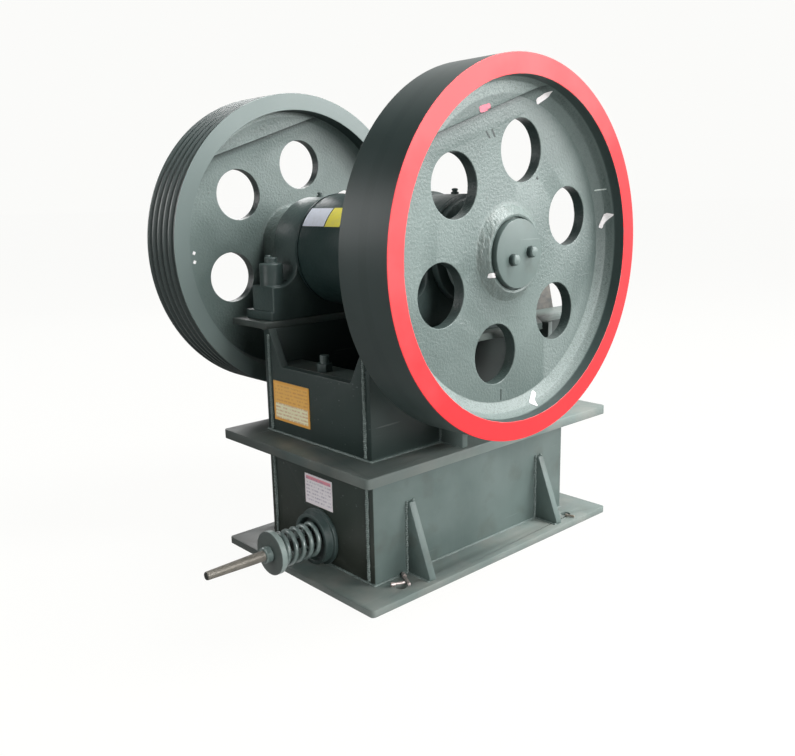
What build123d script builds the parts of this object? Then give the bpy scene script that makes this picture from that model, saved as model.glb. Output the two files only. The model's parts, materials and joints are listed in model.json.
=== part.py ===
from build123d import *
import os
from math import cos, radians, sin, tan

os.makedirs("parts", exist_ok=True)

# A small jaw crusher. The origin is on the ground under the middle of the base plate,
# +X points to the feed side, +Y to the sheave side and +Z up.

# Base plate
base_length = 702
base_width = 464
base_thickness = 14
base_corner = 8
anchor_edge_x = 101
anchor_edge_y = 37
anchor_hole_radius = 11

# Box frame, welded from plate below and above the middle flange
box_length = 560
box_width = 323
box_shift = -4
side_wall = 16
end_wall = 18
lower_height = 219
flange_length = 696
flange_width = 456
flange_shift = -3
flange_thickness = 19
upper_height = 208
discharge_ledge = 30

# Rear notch, shelf and adjusting screw
notch_bottom = 136
notch_width = 214
shelf_depth = 60
shelf_thickness = 14
screw_radius = 9
screw_clearance = 1
screw_top = 32
screw_y = 12
screw_nut_radius = 16
screw_nut_thickness = 16
screw_nut_gap = 2

# Gussets
gusset_setback = 10.5
gusset_height = 142
gusset_thickness = 16
gusset_tip = 8
rear_gusset_x = -194
front_gusset_x = 192
seat_rib_reach = 58
seat_rib_thickness = 14
rear_seat_rib_x = -103
front_seat_rib_x = 150

# Bearing plates on top of the side walls
seat_thickness = 13
seat_front = 295
seat_rear = -291
seat_overhang = 50.5
seat_bearing_overhang = 104

# Bearing housings
bearing_centre_height = 143
shaft_x = -103
housing_radius = 100
housing_setback = 4.5
housing_width = 75
foot_length = 335
foot_width = 92
foot_thickness = 19
shoulder_length = 324
shoulder_height = 68
neck_fillet = 44
cap_boss_offset = 138
cap_boss_radius = 24
cap_boss_height = 45
cap_nut_radius = 13
cap_nut_height = 12
cover_radius = 93
cover_thickness = 15

# Shaft
journal_radius = 40
eccentric_radius = 52
eccentric_throw = 8
eccentric_angle = -71.3
running_gap = 0.05
seat_gap = 0.3

# Wheels
flywheel_radius = 315
flywheel_rim = 33
flywheel_width = 109.5
flywheel_dish = 43.5
hub_length = 73
sheave_radius = 314
sheave_rim = 34
sheave_width = 113.5
sheave_setback = 7.5
sheave_dish = 45
web_thickness = 22
flywheel_fillet = 26
sheave_fillet = 12
wheel_hole_radius = 52
wheel_hole_circle = 172
wheel_hole_count = 6
flywheel_hole_angle = 19.4
sheave_hole_angle = 21.4
hub_radius = 80
hub_nose_radius = 66
hub_nose = 16
hub_gap = 7
weight_chord = 236
weight_angle = 108.7
weight_height = 12
groove_count = 5
groove_pitch = 22
groove_depth = 13
groove_mouth = 15
groove_floor = 7
cap_radius = 58
cap_thickness = 14
cap_recess_radius = 61
cap_recess = 6

# Pitman and jaws
barrel_radius = 112.5
barrel_end_radius = 109
barrel_end = 12
barrel_gap = 2
jaw_slope = 16
gape_x = 68
gape_z = 470
jaw_thickness = 34
tooth_depth = 12
tooth_pitch = 24
tooth_flat = 3
moving_jaw_gap = 7.5
moving_jaw_rise = 20
moving_jaw_length = 450
fixed_jaw_gap = 2.5
fixed_jaw_bottom = 60
fixed_jaw_length = 420
jaw_rest = 24
slab_thickness = 28
slab_top = 110
pitman_rib = 22
rib_depth = 46
rib_top = 6
pitman_tail = 62
tail_slope = 44
clamp_length = 42
clamp_depth = 22
cheek_thickness = 18
cheek_top = 560
cheek_rear_top = 60
cheek_rear_bottom = 150
cheek_rear_drop = 100

# Toggle plate, its block and wedge
toggle_rear_x = -192
toggle_rear_z = 172
toggle_thickness = 22
toggle_side_gap = 30.5
toggle_beam_height = 30
block_depth = 42
block_setback = 4
block_height = 84
toggle_seat_drop = 25
toggle_rod_gap = 18
open_pivot_gap = 28

# Tension rod and spring
rod_radius = 10
rod_clearance = 6
rod_height = 65
rod_tip = -538
rod_eye_x = 44
rod_eye_radius = 17
rod_eye_hole = 8
rod_eye_thickness = 16
cup_base_radius = 57
cup_base = 8
cup_radius = 51
cup_depth = 24
cup_wall = 8
spring_radius = 35
spring_wire = 5
spring_wire_sides = 6
spring_turns = 5
spring_turn_steps = 14
washer_radius = 42
washer_thickness = 13
washer_x = -404
nut_radius = 16
nut_thickness = 14

# Heights and places that follow from the sizes above
lower_bottom = base_thickness
flange_bottom = lower_bottom + lower_height
upper_bottom = flange_bottom + flange_thickness
seat_bottom = upper_bottom + upper_height
seat_top = seat_bottom + seat_thickness
shaft_z = seat_top + bearing_centre_height
box_rear = box_shift - box_length / 2
box_front = box_shift + box_length / 2
rear_inside = box_rear + end_wall
front_inside = box_front - end_wall
inside_half = box_width / 2 - side_wall
inside_length = front_inside - rear_inside
inside_middle = (front_inside + rear_inside) / 2
cheek_inside = inside_half - cheek_thickness
fixed_jaw_width = 2 * (cheek_inside - fixed_jaw_gap)
moving_jaw_width = 2 * (cheek_inside - moving_jaw_gap)
pitman_rib_y = moving_jaw_width / 2 - pitman_rib
toggle_width = 2 * (inside_half - toggle_side_gap)
seat_reach = box_width / 2 + seat_overhang
seat_bearing_reach = box_width / 2 + seat_bearing_overhang
housing_inner_y = inside_half + housing_setback
housing_outer_y = housing_inner_y + housing_width
barrel_half = housing_inner_y - barrel_gap
hub_inner_y = housing_outer_y + cover_thickness + hub_gap
flywheel_web_y = hub_inner_y + hub_length
flywheel_face_y = flywheel_web_y + flywheel_dish
sheave_face_y = hub_inner_y + sheave_setback
sheave_web_y = sheave_face_y + sheave_dish
throw_x = eccentric_throw * cos(radians(eccentric_angle))
throw_z = eccentric_throw * sin(radians(eccentric_angle))

shaft_axis = Axis((shaft_x, 0, shaft_z), (0, 1, 0))
shaft_profile = Plane((shaft_x, 0, shaft_z), x_dir=(0, 1, 0), z_dir=(1, 0, 0))


def upright(y, x=0, z=0):
    """Plane at one Y with X across and Z up. Extruding from it runs towards -Y."""
    return Plane((x, y, z), x_dir=(1, 0, 0), z_dir=(0, -1, 0))


def outer_y(side, inner, outer):
    """Larger Y of a layer that lies between two distances from the middle plane."""
    return max(side * inner, side * outer)


def save(part, name):
    part.label = name
    export_step(part, f"parts/{name}.step")


# Base plate, open in the middle where the crushed stone falls through
with BuildPart() as base_plate:
    with BuildSketch():
        RectangleRounded(base_length, base_width, base_corner)
        with Locations((inside_middle, 0)):
            Rectangle(inside_length - 2 * discharge_ledge, 2 * inside_half - 2 * discharge_ledge,
                      mode=Mode.SUBTRACT)
        with GridLocations(base_length - 2 * anchor_edge_x, base_width - 2 * anchor_edge_y, 2, 2):
            Circle(anchor_hole_radius, mode=Mode.SUBTRACT)
    extrude(amount=base_thickness)
save(base_plate.part, "base_plate")

# Middle flange, a ring of plate between the lower and the upper box
with BuildPart() as middle_flange:
    with BuildSketch(Plane.XY.offset(flange_bottom)):
        with Locations((flange_shift, 0)):
            RectangleRounded(flange_length, flange_width, base_corner)
        with Locations((inside_middle, 0)):
            Rectangle(inside_length, 2 * inside_half, mode=Mode.SUBTRACT)
    extrude(amount=flange_thickness)
save(middle_flange.part, "middle_flange")

# Side walls of the lower and the upper box
for side, hand in ((-1, "flywheel"), (1, "sheave")):
    for level, bottom, height in (("lower", lower_bottom, lower_height),
                                  ("upper", upper_bottom, upper_height)):
        with BuildPart() as side_plate:
            with BuildSketch(upright(outer_y(side, inside_half, box_width / 2))):
                with Locations((box_shift, bottom)):
                    Rectangle(box_length, height, align=(Align.CENTER, Align.MIN))
            extrude(amount=side_wall)
        save(side_plate.part, f"{level}_wall_{hand}_side")

# Lower rear wall, drilled for the tension rod
with BuildPart() as lower_rear_wall:
    with Locations(((box_rear + rear_inside) / 2, 0, lower_bottom)):
        Box(end_wall, 2 * inside_half, lower_height, align=(Align.CENTER, Align.CENTER, Align.MIN))
    with Locations(Plane((box_rear, 0, rod_height), x_dir=(0, 1, 0), z_dir=(-1, 0, 0))):
        Hole(rod_radius + rod_clearance)
save(lower_rear_wall.part, "lower_rear_wall")

# Lower front wall with the ledge that the fixed jaw plate stands on
with BuildPart() as lower_front_wall:
    with BuildSketch(upright(inside_half)):
        with BuildLine():
            Polyline((front_inside, lower_bottom), (box_front, lower_bottom),
                     (box_front, flange_bottom), (front_inside, flange_bottom),
                     (front_inside, fixed_jaw_bottom),
                     (front_inside - jaw_rest, fixed_jaw_bottom),
                     (front_inside - jaw_rest, fixed_jaw_bottom - jaw_rest / 2),
                     (front_inside, fixed_jaw_bottom - 1.5 * jaw_rest), close=True)
        make_face()
    extrude(amount=2 * inside_half)
save(lower_front_wall.part, "lower_front_wall")

# Upper rear wall with its sloping-sided notch
with BuildPart() as upper_rear_wall:
    with BuildSketch(Plane((box_rear, 0, upper_bottom), x_dir=(0, 1, 0), z_dir=(1, 0, 0))):
        with BuildLine():
            Polyline((-inside_half, 0), (inside_half, 0), (inside_half, upper_height),
                     (notch_width / 2, notch_bottom), (-notch_width / 2, notch_bottom),
                     (-inside_half, upper_height), close=True)
        make_face()
    extrude(amount=end_wall)
save(upper_rear_wall.part, "upper_rear_wall")

# Upper front wall behind the fixed jaw plate
with BuildPart() as upper_front_wall:
    with Locations(((front_inside + box_front) / 2, 0, upper_bottom)):
        Box(end_wall, 2 * inside_half, upper_height, align=(Align.CENTER, Align.CENTER, Align.MIN))
save(upper_front_wall.part, "upper_front_wall")

# Shelf across the rear wall, drilled for the wedge screw
with BuildPart() as screw_shelf:
    with Locations((rear_inside, 0, upper_bottom + notch_bottom)):
        Box(shelf_depth, 2 * inside_half, shelf_thickness, align=(Align.MIN, Align.CENTER, Align.MAX))
    with Locations((rear_inside + screw_nut_radius + screw_nut_gap, screw_y, upper_bottom + notch_bottom)):
        Hole(screw_radius + screw_clearance)
save(screw_shelf.part, "screw_shelf")

# Gussets between the lower box and the base plate
gusset_reach = (base_width - box_width) / 2 - gusset_setback
for side, hand in ((-1, "flywheel"), (1, "sheave")):
    for place, gusset_x in (("rear", rear_gusset_x), ("front", front_gusset_x)):
        root = side * box_width / 2
        with BuildPart() as gusset:
            with BuildSketch(Plane((gusset_x - gusset_thickness / 2, 0, lower_bottom),
                                   x_dir=(0, 1, 0), z_dir=(1, 0, 0))):
                with BuildLine():
                    Polyline((root, 0), (root + side * gusset_reach, 0),
                             (root + side * gusset_reach, gusset_tip),
                             (root + side * gusset_tip, gusset_height),
                             (root, gusset_height), close=True)
                make_face()
            extrude(amount=gusset_thickness)
        save(gusset.part, f"{place}_gusset_{hand}_side")

# Bearing plates that widen under the housings, with the ribs that carry them
for side, hand in ((-1, "flywheel"), (1, "sheave")):
    widening = seat_bearing_reach - seat_reach
    bearing_front = shaft_x + foot_length / 2 + widening
    with BuildPart() as seat_plate:
        with BuildSketch(Plane.XY.offset(seat_bottom)):
            with BuildLine():
                Polyline((seat_rear, side * inside_half), (seat_front, side * inside_half),
                         (seat_front, side * seat_reach), (bearing_front, side * seat_reach),
                         (bearing_front - widening, side * seat_bearing_reach),
                         (seat_rear, side * seat_bearing_reach), close=True)
            make_face()
        extrude(amount=seat_thickness)
    save(seat_plate.part, f"bearing_plate_{hand}_side")
    for place, rib_x in (("rear", rear_seat_rib_x), ("front", front_seat_rib_x)):
        with BuildPart() as seat_rib:
            with Locations((rib_x, side * (box_width + seat_rib_reach) / 2, upper_bottom)):
                Box(seat_rib_thickness, seat_rib_reach, upper_height,
                    align=(Align.CENTER, Align.CENTER, Align.MIN))
        save(seat_rib.part, f"{place}_bearing_rib_{hand}_side")

# Bearing housings, plummer blocks with a waisted neck and two cap bolt bosses
for side, hand in ((-1, "flywheel"), (1, "sheave")):
    with BuildPart() as housing:
        with BuildSketch(upright(outer_y(side, housing_inner_y, housing_outer_y), shaft_x, seat_top)):
            with Locations((0, bearing_centre_height)):
                Circle(housing_radius)
            Rectangle(2 * housing_radius, bearing_centre_height, align=(Align.CENTER, Align.MIN))
            Rectangle(shoulder_length, shoulder_height, align=(Align.CENTER, Align.MIN))
            corners = [v for v in vertices() if abs(abs(v.X) - housing_radius) < 1
                       and abs(v.Y - shoulder_height) < 1]
            fillet(corners, neck_fillet)
        extrude(amount=housing_width)
        foot_middle = side * (housing_inner_y + foot_width / 2)
        with Locations((shaft_x, foot_middle, seat_top)):
            Box(foot_length, foot_width, foot_thickness, align=(Align.CENTER, Align.CENTER, Align.MIN))
        boss_y = side * (housing_inner_y + housing_width / 2)
        for turn in (-1, 1):
            with Locations((shaft_x + turn * cap_boss_offset, boss_y, seat_top + shoulder_height)):
                Cylinder(cap_boss_radius, cap_boss_height, align=(Align.CENTER, Align.CENTER, Align.MIN))
            with Locations((shaft_x + turn * cap_boss_offset, boss_y,
                            seat_top + shoulder_height + cap_boss_height)):
                Cylinder(cap_nut_radius, cap_nut_height, align=(Align.CENTER, Align.CENTER, Align.MIN))
        with Locations(upright(side * housing_inner_y, shaft_x, shaft_z)):
            Cylinder(journal_radius + running_gap, 4 * housing_width, mode=Mode.SUBTRACT)
    save(housing.part, f"bearing_housing_{hand}_side")
    with BuildPart() as cover:
        with BuildSketch(upright(outer_y(side, housing_outer_y, housing_outer_y + cover_thickness),
                                 shaft_x, shaft_z)):
            Circle(cover_radius)
            Circle(journal_radius + running_gap, mode=Mode.SUBTRACT)
        extrude(amount=cover_thickness)
    save(cover.part, f"bearing_cover_{hand}_side")

# Eccentric shaft, with two journals and a thicker eccentric part inside the pitman
shaft_end = flywheel_web_y + hub_nose - cap_recess
with BuildPart() as eccentric_shaft:
    with BuildSketch(upright(shaft_end, shaft_x, shaft_z)):
        Circle(journal_radius)
    extrude(amount=2 * shaft_end)
    with BuildSketch(upright(barrel_half, shaft_x + throw_x, shaft_z + throw_z)):
        Circle(eccentric_radius)
    extrude(amount=2 * barrel_half)
save(eccentric_shaft.part, "eccentric_shaft")


def web_holes(web_y, first_angle):
    """Round holes on one pitch circle about the shaft."""
    with BuildSketch(upright(web_y, shaft_x, shaft_z)) as holes:
        with PolarLocations(wheel_hole_circle, wheel_hole_count, start_angle=first_angle):
            Circle(wheel_hole_radius)
    return holes.sketch


def balance_weight(weight_y, rim_inner):
    """Segment of the web between one chord and the rim."""
    with BuildSketch(upright(weight_y, shaft_x, shaft_z)) as weight:
        Circle(rim_inner)
        with Locations((weight_chord * cos(radians(weight_angle)), weight_chord * sin(radians(weight_angle)))):
            Rectangle(rim_inner, 2 * rim_inner, align=(Align.MIN, Align.CENTER), rotation=weight_angle,
                      mode=Mode.INTERSECT)
    return weight.sketch


# Flywheel, one casting with a stepped hub, a web with round holes and a balance weight
with BuildPart() as flywheel:
    rim_inner = flywheel_radius - flywheel_rim
    bore = journal_radius
    with BuildSketch(shaft_profile):
        with BuildLine():
            Polyline((-flywheel_face_y, flywheel_radius),
                     (flywheel_width - flywheel_face_y, flywheel_radius),
                     (flywheel_width - flywheel_face_y, rim_inner),
                     (web_thickness - flywheel_web_y, rim_inner),
                     (web_thickness - flywheel_web_y, hub_radius),
                     (-hub_inner_y, hub_radius), (-hub_inner_y, bore),
                     (cap_recess - flywheel_web_y - hub_nose, bore),
                     (cap_recess - flywheel_web_y - hub_nose, cap_recess_radius),
                     (-flywheel_web_y - hub_nose, cap_recess_radius),
                     (-flywheel_web_y - hub_nose, hub_nose_radius),
                     (-flywheel_web_y, hub_radius),
                     (-flywheel_web_y, rim_inner - flywheel_fillet),
                     (-flywheel_web_y - 0.3 * flywheel_fillet, rim_inner - 0.3 * flywheel_fillet),
                     (-flywheel_web_y - flywheel_fillet, rim_inner),
                     (-flywheel_face_y, rim_inner), close=True)
        make_face()
    revolve(axis=shaft_axis)
    extrude(web_holes(-flywheel_web_y, flywheel_hole_angle), amount=web_thickness, both=True, mode=Mode.SUBTRACT)
    extrude(balance_weight(-flywheel_web_y, rim_inner), amount=weight_height)
save(flywheel.part, "flywheel")

# Sheave, the same wheel with grooves for the V-belts
with BuildPart() as sheave:
    rim_inner = sheave_radius - sheave_rim
    first_groove = sheave_face_y + (sheave_width - (groove_count - 1) * groove_pitch) / 2
    tread = [(sheave_face_y, sheave_radius)]
    for groove in range(groove_count):
        middle = first_groove + groove * groove_pitch
        tread += [(middle - groove_mouth / 2, sheave_radius),
                  (middle - groove_floor / 2, sheave_radius - groove_depth),
                  (middle + groove_floor / 2, sheave_radius - groove_depth),
                  (middle + groove_mouth / 2, sheave_radius)]
    tread.append((sheave_face_y + sheave_width, sheave_radius))
    with BuildSketch(shaft_profile):
        with BuildLine():
            Polyline(*tread, (sheave_face_y + sheave_width, rim_inner),
                     (sheave_web_y + web_thickness, rim_inner),
                     (sheave_web_y + web_thickness, hub_radius),
                     (shaft_end + cap_recess, hub_nose_radius),
                     (shaft_end + cap_recess, cap_recess_radius),
                     (shaft_end, cap_recess_radius), (shaft_end, journal_radius),
                     (hub_inner_y, journal_radius), (hub_inner_y, hub_radius),
                     (sheave_web_y, hub_radius), (sheave_web_y, rim_inner - sheave_fillet),
                     (sheave_web_y - sheave_fillet, rim_inner),
                     (sheave_face_y, rim_inner), close=True)
        make_face()
    revolve(axis=shaft_axis)
    extrude(web_holes(sheave_web_y, sheave_hole_angle), amount=web_thickness, both=True, mode=Mode.SUBTRACT)
    extrude(balance_weight(sheave_web_y, rim_inner), amount=weight_height)
save(sheave.part, "sheave")

# End caps that hold the wheels on the shaft
for side, hand in ((-1, "flywheel"), (1, "sheave")):
    with BuildPart() as end_cap:
        with BuildSketch(upright(outer_y(side, shaft_end, shaft_end + cap_thickness), shaft_x, shaft_z)):
            Circle(cap_radius)
        extrude(amount=cap_thickness)
    save(end_cap.part, f"{hand}_cap")

# Plane of the moving jaw: across it, out of its face, and down it
jaw_down = Vector(sin(radians(jaw_slope)), 0, -cos(radians(jaw_slope)))
jaw_out = Vector(cos(radians(jaw_slope)), 0, sin(radians(jaw_slope)))
gape_point = Vector(gape_x + throw_x, 0, gape_z + throw_z)
barrel_centre = Vector(shaft_x + throw_x, 0, shaft_z + throw_z)


def along_jaw(down, out):
    """X and Z of a point given by its distance down the moving jaw and out of its tooth tips."""
    point = gape_point + jaw_down * down + jaw_out * out
    return (point.X, point.Z)


def tooth_outline(width):
    """Back corners and tooth tips of a corrugated jaw plate that is centred on its width."""
    count = int(width / tooth_pitch)
    start = -count * tooth_pitch / 2
    outline = [(-width / 2, -jaw_thickness), (-width / 2, -tooth_depth)]
    for tooth in range(count):
        left = start + tooth * tooth_pitch
        outline += [(left + tooth_flat / 2, -tooth_depth),
                    (left + tooth_pitch / 2 - tooth_flat / 2, 0),
                    (left + tooth_pitch / 2 + tooth_flat / 2, 0),
                    (left + tooth_pitch - tooth_flat / 2, -tooth_depth)]
    outline += [(width / 2, -tooth_depth), (width / 2, -jaw_thickness)]
    return outline


# Height of the toggle seat above the rod, and the distance down the jaw where the tail has it
socket_z = rod_height + rod_radius + toggle_rod_gap + toggle_thickness / 2
tail_face = jaw_thickness + pitman_tail
seat_down = (gape_point.Z - tail_face * sin(radians(jaw_slope)) - socket_z) / cos(radians(jaw_slope))
tail_top = seat_down - toggle_seat_drop

# Pitman, a casting with a barrel around the eccentric, a slab behind the jaw plate and ribs
jaw_end = moving_jaw_length - moving_jaw_rise
with BuildPart() as pitman:
    with BuildSketch(Plane((barrel_centre.X, 0, barrel_centre.Z), x_dir=(0, 1, 0), z_dir=(1, 0, 0))):
        with BuildLine():
            Polyline((-barrel_half, 0), (-barrel_half, barrel_end_radius),
                     (-barrel_half + barrel_end, barrel_end_radius),
                     (-barrel_half + barrel_end + 3, barrel_radius),
                     (barrel_half - barrel_end - 3, barrel_radius),
                     (barrel_half - barrel_end, barrel_end_radius),
                     (barrel_half, barrel_end_radius), (barrel_half, 0), close=True)
        make_face()
    revolve(axis=Axis((barrel_centre.X, 0, barrel_centre.Z), (0, 1, 0)))
    back = -jaw_thickness
    with BuildSketch(upright(moving_jaw_width / 2)):
        with BuildLine():
            Polyline(along_jaw(-slab_top, back), along_jaw(jaw_end, back),
                     along_jaw(jaw_end, back - pitman_tail),
                     along_jaw(tail_top, back - pitman_tail),
                     along_jaw(tail_top - tail_slope, back - slab_thickness),
                     along_jaw(-slab_top, back - slab_thickness), close=True)
        make_face()
    extrude(amount=moving_jaw_width)
    for rib_y in (-pitman_rib_y, 0, pitman_rib_y):
        with BuildSketch(upright(rib_y + pitman_rib / 2)):
            with BuildLine():
                Polyline(along_jaw(-slab_top, back), along_jaw(jaw_end, back),
                         along_jaw(jaw_end, back - pitman_tail),
                         along_jaw(tail_top, back - pitman_tail),
                         along_jaw(tail_top - tail_slope, back - rib_depth),
                         along_jaw(rib_top, back - rib_depth),
                         (barrel_centre.X - barrel_end_radius * cos(radians(30)),
                          barrel_centre.Z - barrel_end_radius * sin(radians(30))),
                         (barrel_centre.X, barrel_centre.Z), close=True)
            make_face()
        extrude(amount=pitman_rib)
    with Locations(upright(0, barrel_centre.X, barrel_centre.Z)):
        Cylinder(eccentric_radius + running_gap, 4 * barrel_half, mode=Mode.SUBTRACT)
save(pitman.part, "pitman")

# Moving jaw plate on the pitman's face
plate_top = gape_point - jaw_down * moving_jaw_rise
with BuildPart() as moving_jaw_plate:
    with BuildSketch(Plane(plate_top, x_dir=(0, 1, 0), z_dir=jaw_down)):
        with BuildLine():
            Polyline(*tooth_outline(moving_jaw_width), close=True)
        make_face()
    extrude(amount=moving_jaw_length)
save(moving_jaw_plate.part, "moving_jaw_plate")

# Clamp bar above the moving jaw plate
with BuildPart() as jaw_clamp:
    with BuildSketch(upright(moving_jaw_width / 2)):
        with BuildLine():
            Polyline(along_jaw(-moving_jaw_rise, -jaw_thickness),
                     along_jaw(-moving_jaw_rise - clamp_length, -jaw_thickness),
                     along_jaw(-moving_jaw_rise - clamp_length, clamp_depth / 2 - jaw_thickness),
                     along_jaw(-moving_jaw_rise, clamp_depth - jaw_thickness), close=True)
        make_face()
    extrude(amount=moving_jaw_width)
save(jaw_clamp.part, "jaw_clamp")

# Fixed jaw plate on the front wall
with BuildPart() as fixed_jaw_plate:
    with BuildSketch(Plane((front_inside - jaw_thickness, 0, fixed_jaw_bottom),
                           x_dir=(0, 1, 0), z_dir=(0, 0, 1))):
        with BuildLine():
            Polyline(*tooth_outline(fixed_jaw_width), close=True)
        make_face()
    extrude(amount=fixed_jaw_length)
save(fixed_jaw_plate.part, "fixed_jaw_plate")

# Cheek plates that line the side walls of the crushing chamber
cheek_lean = (cheek_top - seat_top) * tan(radians(jaw_slope))
for side, hand in ((-1, "flywheel"), (1, "sheave")):
    with BuildPart() as cheek:
        with BuildSketch(upright(outer_y(side, cheek_inside, inside_half))):
            with BuildLine():
                Polyline((cheek_rear_bottom, fixed_jaw_bottom), (front_inside, fixed_jaw_bottom),
                         (front_inside, seat_top), (front_inside - cheek_lean, cheek_top),
                         (cheek_rear_top, cheek_top), (cheek_rear_top, seat_bottom - cheek_rear_drop),
                         close=True)
            make_face()
        extrude(amount=cheek_thickness)
    save(cheek.part, f"cheek_plate_{hand}_side")

# Beam across the box that carries the toggle block
block_bottom = toggle_rear_z - block_height / 2
with BuildPart() as toggle_beam:
    with Locations((rear_inside, 0, block_bottom)):
        Box(toggle_rear_x - rear_inside, 2 * inside_half, toggle_beam_height,
            align=(Align.MIN, Align.CENTER, Align.MAX))
save(toggle_beam.part, "toggle_beam")

# Toggle block with the round groove that the toggle plate rocks in
with BuildPart() as toggle_block:
    with BuildSketch(upright(toggle_width / 2)):
        with Locations((toggle_rear_x - block_setback, toggle_rear_z)):
            Rectangle(block_depth, block_height, align=(Align.MAX, Align.CENTER))
        with Locations((toggle_rear_x, toggle_rear_z)):
            Circle(toggle_thickness / 2 + seat_gap, mode=Mode.SUBTRACT)
    extrude(amount=toggle_width)
save(toggle_block.part, "toggle_block")

# Adjusting wedge between the toggle block and the rear wall
block_rear = toggle_rear_x - block_setback - block_depth
with BuildPart() as adjusting_wedge:
    with Locations((rear_inside, 0, block_bottom)):
        Box(block_rear - rear_inside, toggle_width, block_height, align=(Align.MIN, Align.CENTER, Align.MIN))
save(adjusting_wedge.part, "adjusting_wedge")

# Screw that lifts the wedge, hanging from its nut on the shelf
screw_x = rear_inside + screw_nut_radius + screw_nut_gap
shelf_top = upper_bottom + notch_bottom
with BuildPart() as wedge_screw:
    with Locations((screw_x, screw_y, toggle_rear_z + block_height / 2)):
        Cylinder(screw_radius, shelf_top + screw_top - toggle_rear_z - block_height / 2,
                 align=(Align.CENTER, Align.CENTER, Align.MIN))
    with BuildSketch(Plane.XY.offset(shelf_top)):
        with Locations((screw_x, screw_y)):
            RegularPolygon(screw_nut_radius, 6)
    extrude(amount=screw_nut_thickness)
save(wedge_screw.part, "wedge_screw")

# Toggle plate, a flat plate with round edges
socket_x = along_jaw(seat_down, -tail_face)[0] - open_pivot_gap
with BuildPart() as toggle_plate:
    with BuildSketch(upright(toggle_width / 2)):
        with Locations((toggle_rear_x, toggle_rear_z)):
            Circle(toggle_thickness / 2)
        with BuildLine():
            Line((toggle_rear_x, toggle_rear_z), (socket_x, socket_z))
        trace(line_width=toggle_thickness)
        with Locations((socket_x, socket_z)):
            Circle(toggle_thickness / 2)
    extrude(amount=toggle_width)
save(toggle_plate.part, "toggle_plate")

# Spring cup welded on the rear wall around the rod
with BuildPart() as spring_cup:
    with BuildSketch(Plane((box_rear, 0, rod_height), x_dir=(0, 1, 0), z_dir=(-1, 0, 0))):
        Circle(cup_base_radius)
    extrude(amount=cup_base)
    with BuildSketch(Plane((box_rear, 0, rod_height), x_dir=(0, 1, 0), z_dir=(-1, 0, 0))):
        Circle(cup_radius)
    extrude(amount=cup_depth)
    with BuildSketch(Plane((box_rear, 0, rod_height), x_dir=(0, 1, 0), z_dir=(-1, 0, 0))):
        Circle(rod_radius + rod_clearance)
    extrude(amount=cup_depth, mode=Mode.SUBTRACT)
    with BuildSketch(Plane((box_rear - cup_wall, 0, rod_height), x_dir=(0, 1, 0), z_dir=(-1, 0, 0))):
        Circle(cup_radius - cup_wall)
    extrude(amount=cup_depth, mode=Mode.SUBTRACT)
    split(bisect_by=Plane.XY.offset(lower_bottom), keep=Keep.TOP)
save(spring_cup.part, "spring_cup")

# Tension rod with its nut, and the washer that presses on the spring
with BuildPart() as tension_rod:
    with BuildSketch(Plane((rod_tip, 0, rod_height), x_dir=(0, 1, 0), z_dir=(1, 0, 0))):
        Circle(rod_radius)
    extrude(amount=rod_eye_x - rod_eye_radius / 2 - rod_tip)
    with BuildSketch(upright(rod_eye_thickness / 2, rod_eye_x, rod_height)):
        Circle(rod_eye_radius)
        Circle(rod_eye_hole, mode=Mode.SUBTRACT)
    extrude(amount=rod_eye_thickness)
    with BuildSketch(Plane((washer_x - nut_thickness, 0, rod_height), x_dir=(0, 1, 0), z_dir=(1, 0, 0))):
        Circle(nut_radius)
    extrude(amount=nut_thickness)
save(tension_rod.part, "tension_rod")

with BuildPart() as spring_washer:
    with BuildSketch(Plane((washer_x, 0, rod_height), x_dir=(0, 1, 0), z_dir=(1, 0, 0))):
        Circle(washer_radius)
        Circle(rod_radius + seat_gap, mode=Mode.SUBTRACT)
    extrude(amount=washer_thickness)
save(spring_washer.part, "spring_washer")

# Compression spring
spring_start = washer_x + washer_thickness
spring_end = box_rear - cup_wall
spring_pitch = (spring_end - spring_start - 2 * spring_wire) / spring_turns
with BuildPart() as tension_spring:
    with BuildLine():
        turn_angles = [radians(360 * step / spring_turn_steps)
                       for step in range(spring_turns * spring_turn_steps + 1)]
        coil = Polyline(*[(spring_start + spring_wire + spring_pitch * angle / radians(360),
                           (spring_radius - spring_wire) * cos(angle),
                           rod_height + (spring_radius - spring_wire) * sin(angle))
                          for angle in turn_angles])
    with BuildSketch(Plane(coil @ 0, z_dir=coil % 0)):
        RegularPolygon(spring_wire, spring_wire_sides)
    sweep(transition=Transition.RIGHT)
save(tension_spring.part, "tension_spring")
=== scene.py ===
import json
import random
from functools import partialmethod
from math import cos, pi, radians, sin

import bmesh
import bpy
from mathutils import Matrix, Vector
from mathutils.bvhtree import BVHTree

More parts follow.
